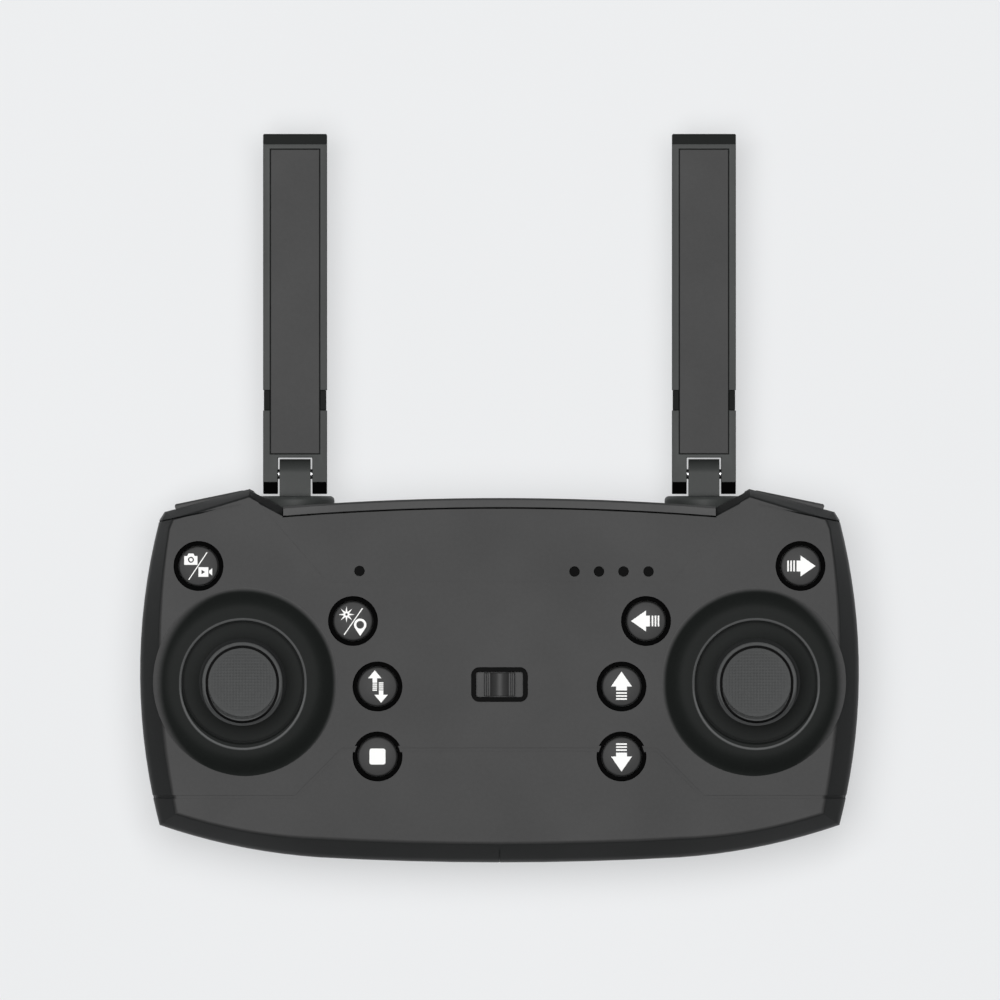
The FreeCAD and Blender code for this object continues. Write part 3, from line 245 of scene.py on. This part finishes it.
def cap_rubber(name, pad, groove, ring, collar, roughness):
    """Rubber of a thumb cap: pale pad and ring, with painted shade that makes the groove between them black
    and the collar below darker.
    """
    kit = Nodes(name)
    reach = kit.reach(STICK_AXIS)
    # Painted shade: the groove between pad and ring is black and the collar below is darker
    inside = kit.mix(kit.between(reach, *PAD_TO_GROOVE_SHADE_BAND), pad, groove)
    raised = kit.mix(kit.between(reach, *GROOVE_SHADE_TO_RING_BAND), inside, ring)
    base = kit.mix(kit.between(reach, *COLLAR_SHADE_BAND), raised, collar)
    return moulded(kit, base, roughness, specular=0.05, depth=0.000006, wear=1.0)


def soft_rubber(name, base, roughness):
    """Silicone or rubber: even, dull and slightly dusty."""
    kit = Nodes(name)
    dust = kit.noise(420.0, detail=5.0, roughness=0.65)
    skin = kit.noise(5200.0, detail=2.0)
    kit.link(kit.mix(kit.spread(dust, 0.0, 1.0), base, shade(base, 1.35)), kit.shader.inputs["Base Color"])
    kit.link(kit.spread(dust, roughness - 0.05, roughness + 0.06), kit.shader.inputs["Roughness"])
    kit.shader.inputs["Specular IOR Level"].default_value = 0.3
    kit.link(kit.bump(skin, 0.000010), kit.shader.inputs["Normal"])
    return kit.material


def brushed_metal(name, base, roughness):
    """Plain steel or nickel with fine scratches and a little tarnish."""
    kit = Nodes(name)
    stretch = kit.tree.nodes.new("ShaderNodeMapping")
    stretch.inputs["Scale"].default_value = (9000.0, 700.0, 9000.0)
    kit.link(kit.place, stretch.inputs["Vector"])
    scratches = kit.add("ShaderNodeTexNoise", Scale=1.0, Detail=3.0)
    kit.link(stretch.outputs["Vector"], scratches.inputs["Vector"])
    tarnish = kit.noise(600.0, detail=4.0)
    tarnished = kit.mix(kit.spread(tarnish, 0.0, 1.0), shade(base, 0.85), base)
    kit.link(tarnished, kit.shader.inputs["Base Color"])
    kit.shader.inputs["Metallic"].default_value = 1.0
    gloss = kit.spread(scratches.outputs["Fac"], roughness - 0.06, roughness + 0.10)
    kit.link(gloss, kit.shader.inputs["Roughness"])
    kit.link(kit.bump(scratches.outputs["Fac"], 0.000004), kit.shader.inputs["Normal"])
    return kit.material


def printed_ink(name, base):
    """Pad-printed ink with a fine uneven edge of gloss and pinholes."""
    kit = Nodes(name)
    film = kit.noise(2600.0, detail=3.0)
    kit.link(kit.mix(kit.spread(film, 0.0, 1.0), shade(base, 0.97), base), kit.shader.inputs["Base Color"])
    kit.link(kit.spread(film, 0.42, 0.55), kit.shader.inputs["Roughness"])
    kit.link(kit.bump(film, 0.000003), kit.shader.inputs["Normal"])
    return kit.material


def circuit_board(name):
    """Green solder mask with copper traces that show through."""
    kit = Nodes(name)
    tracks = kit.add("ShaderNodeTexBrick", Scale=420.0, Mortar_Size=0.035)
    kit.link(kit.place, tracks.inputs["Vector"])
    tracks.inputs["Color1"].default_value = colour(18, 84, 48)
    tracks.inputs["Color2"].default_value = colour(22, 92, 52)
    tracks.inputs["Mortar"].default_value = colour(48, 128, 74)
    kit.link(tracks.outputs["Color"], kit.shader.inputs["Base Color"])
    kit.link(kit.spread(kit.noise(900.0), 0.28, 0.40), kit.shader.inputs["Roughness"])
    kit.link(kit.bump(tracks.outputs["Fac"], 0.00003), kit.shader.inputs["Normal"])
    return kit.material


def cell_sleeve(name):
    """Plain printed sleeve of a dry cell, with a darker end band and fine scuffs."""
    kit = Nodes(name)
    split = kit.tree.nodes.new("ShaderNodeSeparateXYZ")
    kit.link(kit.place, split.inputs["Vector"])
    bands = kit.add("ShaderNodeMapRange", From_Min=-0.0226, From_Max=0.0226)
    kit.link(split.outputs["X"], bands.inputs["Value"])
    base = kit.ramp(bands.outputs["Result"], [(0.26, colour(60, 66, 70)), (0.28, colour(34, 104, 74))])
    scuffs = kit.noise(800.0, detail=5.0, roughness=0.7)
    scuffed = kit.mix(kit.spread(scuffs, 0.0, 0.35), base, colour(150, 152, 150))
    kit.link(scuffed, kit.shader.inputs["Base Color"])
    kit.link(kit.spread(scuffs, 0.22, 0.38), kit.shader.inputs["Roughness"])
    kit.link(kit.bump(scuffs, 0.000004), kit.shader.inputs["Normal"])
    return kit.material


def clear_epoxy(name):
    """Milky resin of a small light."""
    kit = Nodes(name)
    cloud = kit.noise(1500.0, detail=2.0)
    kit.link(kit.mix(kit.spread(cloud, 0.0, 1.0), colour(205, 210, 214), colour(226, 230, 232)),
             kit.shader.inputs["Base Color"])
    kit.link(kit.spread(cloud, 0.16, 0.26), kit.shader.inputs["Roughness"])
    kit.shader.inputs["Transmission Weight"].default_value = 0.35
    kit.link(kit.bump(cloud, 0.000003), kit.shader.inputs["Normal"])
    return kit.material


STICK_AXIS = tuple(centre_of("right_stick_cap"))[:2]
SHELL = colour(54, 54, 54)

MATERIALS = {
    # The second colour is the painted shade on the case's slopes
    "shell": shell_plastic_with_slope_shade("shell plastic with painted slope shade", SHELL, colour(24, 25, 25), 0.52, 0.19),
    "back": moulded_plastic("back plastic", colour(48, 48, 48), 0.54, specular=0.19, wear=1.0),
    "bar": moulded_plastic("bar plastic", colour(60, 60, 60), 0.52, specular=0.21),
    # The rim colour is a painted highlight and the foot colour is painted light
    "bezel": bezel_plastic(
        "bezel plastic with painted light", ring=colour(27, 29, 28), rim=colour(90, 91, 91), foot=colour(76, 76, 76),
        roughness=0.50),
    "key": moulded_plastic("key plastic", colour(53, 53, 53), 0.50, depth=0.000006, specular=0.18),
    "knob": moulded_plastic("knob plastic", colour(54, 54, 54), 0.46, depth=0.000006, specular=0.17),
    "gloss_black": moulded_plastic(
        "gloss black plastic", colour(6, 6, 6), 0.40, depth=0.000003, specular=0.015),
    # On the antenna pads this dark colour is painted shade in the notches of the antennas' sides
    "dark": moulded_plastic("dark plastic with painted notch shade", colour(20, 22, 21), 0.46, depth=0.000006, specular=0.04),
    "dome": moulded_plastic("dome plastic", colour(20, 21, 21), 0.36, depth=0.000004, specular=0.06),
    "gimbal": moulded_plastic("gimbal plastic", colour(34, 34, 35), 0.50),
    "antenna": moulded_plastic("antenna plastic", colour(54, 56, 55), 0.50, specular=0.18),
    "panel": moulded_plastic("panel plastic", colour(55, 55, 55), 0.52, specular=0.18),
    "pot": moulded_plastic("potentiometer case", colour(52, 78, 120), 0.48),
    "chip": moulded_plastic("chip epoxy", colour(30, 30, 31), 0.62),
    "collar": moulded_plastic("collar silicone", colour(4, 4, 4), 0.70, depth=0.000005, specular=0.02),
    # The groove and collar colours are painted shade
    "cap": cap_rubber(
        "cap rubber with painted shade", pad=colour(75, 76, 76), groove=colour(3, 3, 3), ring=colour(80, 81, 81),
        collar=colour(39, 40, 40), roughness=0.50),
    "red_wire": soft_rubber("red silicone", colour(168, 24, 22), 0.45),
    "black_wire": soft_rubber("black silicone", colour(22, 22, 23), 0.45),
    "steel": brushed_metal("plain steel", (0.56, 0.56, 0.57, 1.0), 0.32),
    "nickel": brushed_metal("nickel plate", (0.74, 0.72, 0.68, 1.0), 0.22),
    "ink": printed_ink("white ink", colour(244, 244, 242)),
    "board": circuit_board("solder mask"),
    "sleeve": cell_sleeve("cell sleeve"),
    "epoxy": clear_epoxy("milky epoxy"),
}

FINISHES = {
    "shell": ["front_shell"],
    "back": ["rear_shell", "battery_door"],
    "bar": ["top_bar"],
    "bezel": ["stick_bezels"],
    "key": ["left_shoulder_button", "right_shoulder_button"],
    "knob": ["power_switch_knob"],
    "gloss_black": ["power_switch_bezel", "led_lenses"],
    "collar": ["button_collars"],
    "gimbal": ["gimbal_housings", "tact_switches", "shoulder_switches", "power_switch_body"],
    "pot": ["gimbal_pots"],
    "chip": ["board_chips", "buzzer"],
    "board": ["main_board"],
    "sleeve": ["battery_cells"],
    "nickel": ["battery_contacts"],
    "red_wire": ["battery_lead_red"],
    "black_wire": ["battery_lead_black"],
    "steel": ["gimbal_springs", "case_screws", "battery_door_screw"],
    "epoxy": ["leds"],
}
PAIR_FINISHES = {
    "antenna": ["antenna_frame", "antenna_turntable"],
    "panel": ["antenna_panel"],
    # The antenna pads' dark colour is painted shade in the notches of the antennas' sides
    "dark": ["antenna_tip", "antenna_pads"],
    "steel": ["antenna_pin", "turntable_clip", "stick_shaft"],
    "gimbal": ["gimbal_yoke", "gimbal_rocker"],
    "dome": ["stick_dome"],
    "cap": ["stick_cap"],
}
KEYS = [name for name in NODES if name.endswith("_button") and "shoulder" not in name]


# Angles in degrees at which facets count as one flat face, as an edge to round, and as one curved face
FLAT_ANGLE = 0.03
SHARP_ANGLE = 32.0
CURVE_ANGLE = 35.0

# Widths in metres: of rounded edges, of those on small parts, and of gaps that are welded shut
EDGE_WIDTH = 0.00015
SMALL_EDGE_WIDTH = 0.0001
WELD_REACH = 0.000002
SPOTS_PER_METRE = 500000


def paint(node, finish):
    """Gives a CAD node its finish."""
    mesh = NODES[node].data
    mesh.materials.clear()
    mesh.materials.append(MATERIALS[finish])


def soften(node, width):
    """Rounds the sharp edges of a CAD node and shades it smoothly between them."""
    thing = NODES[node]
    if thing.data.attributes.get("custom_normal"):
        thing.data.attributes.remove(thing.data.attributes["custom_normal"])
    thing.data.shade_smooth()
    weld = thing.modifiers.new("weld", "WELD")
    weld.merge_threshold = WELD_REACH
    flat = thing.modifiers.new("join flat facets", "DECIMATE")
    flat.decimate_type = "DISSOLVE"
    flat.angle_limit = math.radians(FLAT_ANGLE)
    bevel = thing.modifiers.new("soft edges", "BEVEL")
    bevel.width = width
    bevel.segments = 2
    bevel.limit_method = "ANGLE"
    bevel.angle_limit = math.radians(SHARP_ANGLE)
    bevel.use_clamp_overlap = True
    bevel.harden_normals = True


def is_flat(normal):
    """True for a facet that faces along an axis, as the wide flat faces do."""
    return max(abs(value) for value in normal) > 0.999999


def smooth_facets(node):
    """Shades the rounded parts of a CAD node smoothly and leaves its flat faces flat."""
    mesh = NODES[node].data
    mesh.shade_smooth()
    spots = [tuple(round(value * SPOTS_PER_METRE) for value in vertex.co) for vertex in mesh.vertices]
    facets = {}
    for polygon in mesh.polygons:
        for vertex in polygon.vertices:
            facets.setdefault(spots[vertex], []).append(polygon)
    closest = math.cos(math.radians(CURVE_ANGLE))
    normals = []
    for polygon in mesh.polygons:
        own = polygon.normal.copy()
        for vertex in polygon.vertices:
            near = [other for other in facets[spots[vertex]] if other.normal.dot(own) > closest]
            leading = [other for other in near if is_flat(other.normal)] or near
            total = sum((other.normal * other.area for other in leading), Vector())
            normals.append(own if is_flat(own) else total.normalized())
    mesh.normals_split_custom_set(normals)


def paint_fork_foot_shade(side):
    """Paints shade on the slanted faces at the foot of an antenna's fork, beside its hinge, by giving them
    the gloss black material.
    """
    mesh = NODES[f"{side}_antenna_frame"].data
    # Gloss black here is painted shade on the fork's slanted faces
    mesh.materials.append(MATERIALS["gloss_black"])
    hinge_y = centre_of(f"{side}_antenna_pin").y
    for polygon in mesh.polygons:
        if polygon.center.y < hinge_y and 0.3 < polygon.normal.z < 0.99:
            polygon.material_index = 1


def finish_frame():
    """Materials of every CAD node."""
    for finish, names in FINISHES.items():
        for name in names:
            paint(name, finish)
    for finish, names in PAIR_FINISHES.items():
        for name in names:
            for side in SIDES:
                paint(f"{side}_{name}", finish)
    for name in KEYS:
        paint(name, "key")
    for side in SIDES:
        # Painted shade on the slanted faces at the antennas' fork feet
        paint_fork_foot_shade(side)


# ---- Mesh helpers ----------------------------------------------------------------------------

def new_piece(name, vertices, faces, finish, body):
    """A mesh piece with a finish that rides on a body."""
    mesh = bpy.data.meshes.new(name)
    mesh.from_pydata([tuple(vertex) for vertex in vertices], [], faces)
    mesh.validate()
    mesh.materials.append(MATERIALS[finish])
    thing = bpy.data.objects.new(name, mesh)
    bpy.context.scene.collection.objects.link(thing)
    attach(thing, body)
    return thing


def flat_shape(name, outlines, base_z, thickness, finish, body):
    """Thin printed shape from closed outlines of (x, y) in metres; an outline inside another is a hole."""
    curve = bpy.data.curves.new(name, "CURVE")
    curve.dimensions = "2D"
    curve.fill_mode = "BOTH"
    curve.extrude = thickness / 2
    for points in outlines:
        spline = curve.splines.new("POLY")
        spline.points.add(len(points) - 1)
        for target, (x, y) in zip(spline.points, points):
            target.co = (x, y, 0.0, 1.0)
        spline.use_cyclic_u = True
    helper = bpy.data.objects.new(name + "_outline", curve)
    bpy.context.scene.collection.objects.link(helper)
    bpy.context.view_layer.update()
    mesh = bpy.data.meshes.new_from_object(helper)
    bpy.data.objects.remove(helper)
    for vertex in mesh.vertices:
        vertex.co.z += base_z + thickness / 2
    mesh.materials.clear()
    mesh.materials.append(MATERIALS[finish])
    thing = bpy.data.objects.new(name, mesh)
    bpy.context.scene.collection.objects.link(thing)
    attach(thing, body)
    return thing


# ---- Printed symbols -------------------------------------------------------------------------

def circle_points(x, y, radius, count=28):
    """Closed circle."""
    return [(x + radius * math.cos(2 * math.pi * i / count), y + radius * math.sin(2 * math.pi * i / count))
            for i in range(count)]


def bar_points(x0, y0, x1, y1):
    """Closed rectangle between two corners."""
    return [(x0, y0), (x1, y0), (x1, y1), (x0, y1)]


def stroke_points(x0, y0, x1, y1, width):
    """Closed straight stroke between two points."""
    length = math.hypot(x1 - x0, y1 - y0)
    across = (-(y1 - y0) / length * width / 2, (x1 - x0) / length * width / 2)
    return [(x0 + across[0], y0 + across[1]), (x1 + across[0], y1 + across[1]),
            (x1 - across[0], y1 - across[1]), (x0 - across[0], y0 - across[1])]


def turn_points(points, quarter_turns):
    """Turns a shape about the middle of its key by quarter turns to the left."""
    for _ in range(quarter_turns % 4):
        points = [(-y, x) for x, y in points]
    return points


def striped_arrow():
    """Arrow to the right with a tail of three thin bars."""
    head = [(-0.78, -1.08), (0.0, -1.08), (0.0, -2.1), (3.0, 0.0), (0.0, 2.1), (0.0, 1.08), (-0.78, 1.08)]
    bars = [bar_points(x, -1.08, x + 0.32, 1.08) for x in (-2.65, -2.05, -1.45)]
    return [head] + bars


def half_arrow(middle, direction):
    """Narrow arrow up or down beside the middle of a key, with a tail of four thin bars."""
    half = 0.45
    head = [(-half, 1.65), (-1.35, 1.65), (0.0, 3.25), (1.35, 1.65), (half, 1.65)]
    outline = [(-half, 0.75)] + head + [(half, 0.75)]
    shapes = [outline] + [bar_points(-half, y, half, y + 0.26) for y in (0.35, -0.05, -0.45, -0.85)]
    return [[(middle + x, y * direction) for x, y in shape] for shape in shapes]


def up_down_arrows():
    """Thin arrow up beside a thin arrow down, each with a broken tail."""
    return half_arrow(-0.54, 1) + half_arrow(0.72, -1)


def camera_pair():
    """Still camera above a stroke and film camera below it."""
    body = [(-2.85, 0.24), (-0.2, 0.24), (-0.2, 2.0), (-0.75, 2.0), (-1.0, 2.5), (-2.0, 2.5), (-2.25, 2.0),
            (-2.85, 2.0)]
    lens = circle_points(-1.5, 1.25, 0.6)
    glass = circle_points(-1.5, 1.25, 0.34)
    film = bar_points(0.0, -2.16, 1.98, -0.24)
    play = [(0.6, -1.65), (0.6, -0.75), (1.35, -1.2)]
    horn = [(2.13, -1.4), (2.75, -1.9), (2.75, -0.45), (2.13, -0.95)]
    stroke = stroke_points(-1.95, -2.76, 1.74, 2.76, 0.2)
    return [body, lens, glass, film, play, horn, stroke]


def sun_and_pin():
    """Sun above a stroke and a place pin with a round hole below it."""
    sun = []
    for index in range(16):
        reach = 1.6 if index % 2 == 0 else 0.55
        angle = math.pi * index / 8
        sun.append((-1.3 + reach * math.cos(angle), 1.3 + reach * math.sin(angle)))
    spot = circle_points(-1.3, 1.3, 0.25, 12)
    pin = [(1.44, -3.0)]
    for index in range(19):
        angle = math.radians(-35 + 250 * index / 18)
        pin.append((1.44 + 1.25 * math.cos(angle), -0.75 + 1.25 * math.sin(angle)))
    hole = circle_points(1.44, -0.75, 0.78, 20)
    stroke = stroke_points(-1.77, -2.76, 1.9, 2.55, 0.2)
    return [sun, spot, pin, hole, stroke]


def stop_square():
    """Square with round corners, the usual sign for stop."""
    points = []
    for x, y, start in ((1.15, 1.15, 0), (-1.15, 1.15, 90), (-1.15, -1.15, 180), (1.15, -1.15, 270)):
        for step in range(5):
            angle = math.radians(start + 22.5 * step)
            points.append((x + 0.45 * math.cos(angle), y + 0.45 * math.sin(angle)))
    return [points]


SYMBOLS = {
    "camera_button": (camera_pair(), 0),
    "light_home_button": (sun_and_pin(), 0),
    "takeoff_button": (up_down_arrows(), 0),
    "stop_button": (stop_square(), 0),
    "trim_right_button": (striped_arrow(), 0),
    "trim_left_button": (striped_arrow(), 2),
    "trim_up_button": (striped_arrow(), 1),
    "trim_down_button": (striped_arrow(), 3),
}
INK_THICKNESS = 0.00003


def print_symbols():
    """White symbols on the face keys; each moves with its key."""
    for node, (shapes, turns) in SYMBOLS.items():
        middle = centre_of(node)
        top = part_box(node)[1][2]
        outlines = []
        for points in shapes:
            turned = turn_points(points, turns)
            outlines.append([(middle.x + x * MM, middle.y + y * MM) for x, y in turned])
        body = node.replace("_button", "_key")
        name = node.replace("_button", "_symbol")
        flat_shape(name, outlines, top, INK_THICKNESS, "ink", body)


# ---- Thumb sticks ----------------------------------------------------------------------------

PAD_RADIUS = 6.8
PAD_PITCH = 0.62
PAD_RELIEF = 0.12
PAD_STEP = 0.11
PAD_SEGMENTS = 360


def pad_height(x, y, top):
    """Height of the dished thumb pad with its raised diamond grain, in millimetres."""
    reach = math.hypot(x, y) / PAD_RADIUS
    dish = top - 0.15 - 0.75 * (1 - reach ** 2)
    across = (x + y) / PAD_PITCH
    along = (x - y) / PAD_PITCH
    wave = math.cos(math.pi * across) * math.cos(math.pi * along)
    fade = min(1.0, max(0.0, (1 - reach) * 6))
    return dish + PAD_RELIEF * fade * max(0.0, wave)


def thumb_pad(side):
    """Textured top of a stick's cap."""
    middle = centre_of(f"{side}_stick_cap")
    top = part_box(f"{side}_stick_cap")[1][2] / MM
    rings = int(PAD_RADIUS / PAD_STEP)
    vertices = [(middle.x, middle.y, pad_height(0, 0, top) * MM)]
    faces = []
    segments = PAD_SEGMENTS
    for ring_index in range(1, rings + 1):
        radius = PAD_RADIUS * ring_index / rings
        for step in range(segments):
            angle = 2 * math.pi * step / segments
            x = radius * math.cos(angle)
            y = radius * math.sin(angle)
            vertices.append((middle.x + x * MM, middle.y + y * MM, pad_height(x, y, top) * MM + 0.00002))
    for step in range(segments):
        after = (step + 1) % segments
        faces.append((0, 1 + step, 1 + after))
        for ring_index in range(rings - 1):
            inner = 1 + ring_index * segments
            outer = inner + segments
            faces.append((inner + step, outer + step, outer + after, inner + after))
    pad = new_piece(f"{side}_thumb_pad", vertices, faces, "cap", f"{side}_stick")
    pad.data.shade_smooth()
    return pad


# ---- Stage -----------------------------------------------------------------------------------

VIEW_WIDTH = 0.2
VIEW_DISTANCE = 4.0
VIEW_CENTRE = (0.0001, 0.0368)
FACE_HEIGHT = 0.028
SENSOR = 36.0
FLOOR_DROP = 0.0006


def add_camera():
    """Camera straight above the front face, a long way off."""
    data = bpy.data.cameras.new("camera")
    data.sensor_width = SENSOR
    data.lens = SENSOR * VIEW_DISTANCE / VIEW_WIDTH
    data.clip_start = 0.05
    data.clip_end = 50.0
    camera = bpy.data.objects.new("camera", data)
    camera.location = (*VIEW_CENTRE, FACE_HEIGHT + VIEW_DISTANCE)
    bpy.context.scene.collection.objects.link(camera)
    bpy.context.scene.camera = camera


def add_area_light(name, location, target, size, power):
    """Soft square light aimed at a point."""
    data = bpy.data.lights.new(name, "AREA")
    data.shape = "RECTANGLE"
    data.size, data.size_y = size
    data.energy = power
    light = bpy.data.objects.new(name, data)
    light.location = location
    light.rotation_mode = "QUATERNION"
    light.rotation_quaternion = (Vector(target) - Vector(location)).to_track_quat("-Z", "Y")
    bpy.context.scene.collection.objects.link(light)


def add_stage():
    """Pale floor with a faint glow that keeps shadows light, soft studio lights and an even surround."""
    kit = Nodes("pale floor")
    haze = kit.noise(8.0, detail=2.0)
    kit.link(kit.mix(kit.spread(haze, 0.0, 1.0), colour(158, 159, 160), colour(160, 161, 162)),
             kit.shader.inputs["Base Color"])
    kit.shader.inputs["Emission Color"].default_value = (0.99, 1.0, 1.01, 1.0)
    kit.shader.inputs["Emission Strength"].default_value = 0.5
    kit.shader.inputs["Roughness"].default_value = 0.9
    kit.shader.inputs["Specular IOR Level"].default_value = 0.1
    mesh = bpy.data.meshes.new("floor")
    reach = 6.0
    mesh.from_pydata([(-reach, -reach, -FLOOR_DROP), (reach, -reach, -FLOOR_DROP),
                      (reach, reach, -FLOOR_DROP), (-reach, reach, -FLOOR_DROP)], [], [(0, 1, 2, 3)])
    mesh.materials.append(kit.material)
    floor = bpy.data.objects.new("floor", mesh)
    bpy.context.scene.collection.objects.link(floor)

    add_area_light("front softbox", (-0.08, 0.16, 1.9), (0, 0.03, 0), (1.2, 1.0), 38.0)
    add_area_light("left strip", (-1.2, 0.05, 0.7), (0, 0.02, 0.01), (0.25, 1.2), 0.4)
    add_area_light("right strip", (1.2, 0.05, 0.7), (0, 0.02, 0.01), (0.25, 1.2), 0.4)

    world = bpy.data.worlds.new("surround")
    world.use_nodes = True
    background = world.node_tree.nodes["Background"]
    background.inputs["Color"].default_value = (0.9, 0.95, 1.0, 1.0)
    background.inputs["Strength"].default_value = 0.04
    bpy.context.scene.world = world
    bpy.context.scene.view_settings.view_transform = "Standard"


# ---- Build -----------------------------------------------------------------------------------

add_camera()
add_stage()
finish_frame()

for shell in ("front_shell", "rear_shell", "top_bar", "battery_door", "stick_bezels"):
    smooth_facets(shell)
for side in SIDES:
    for part in ("antenna_frame", "antenna_panel", "antenna_pads", "antenna_turntable", "shoulder_button"):
        soften(f"{side}_{part}", EDGE_WIDTH)
for small in KEYS + ["power_switch_knob", "power_switch_bezel", "button_collars", "led_lenses"]:
    soften(small, SMALL_EDGE_WIDTH)
for side in SIDES:
    thumb_pad(side)
print_symbols()
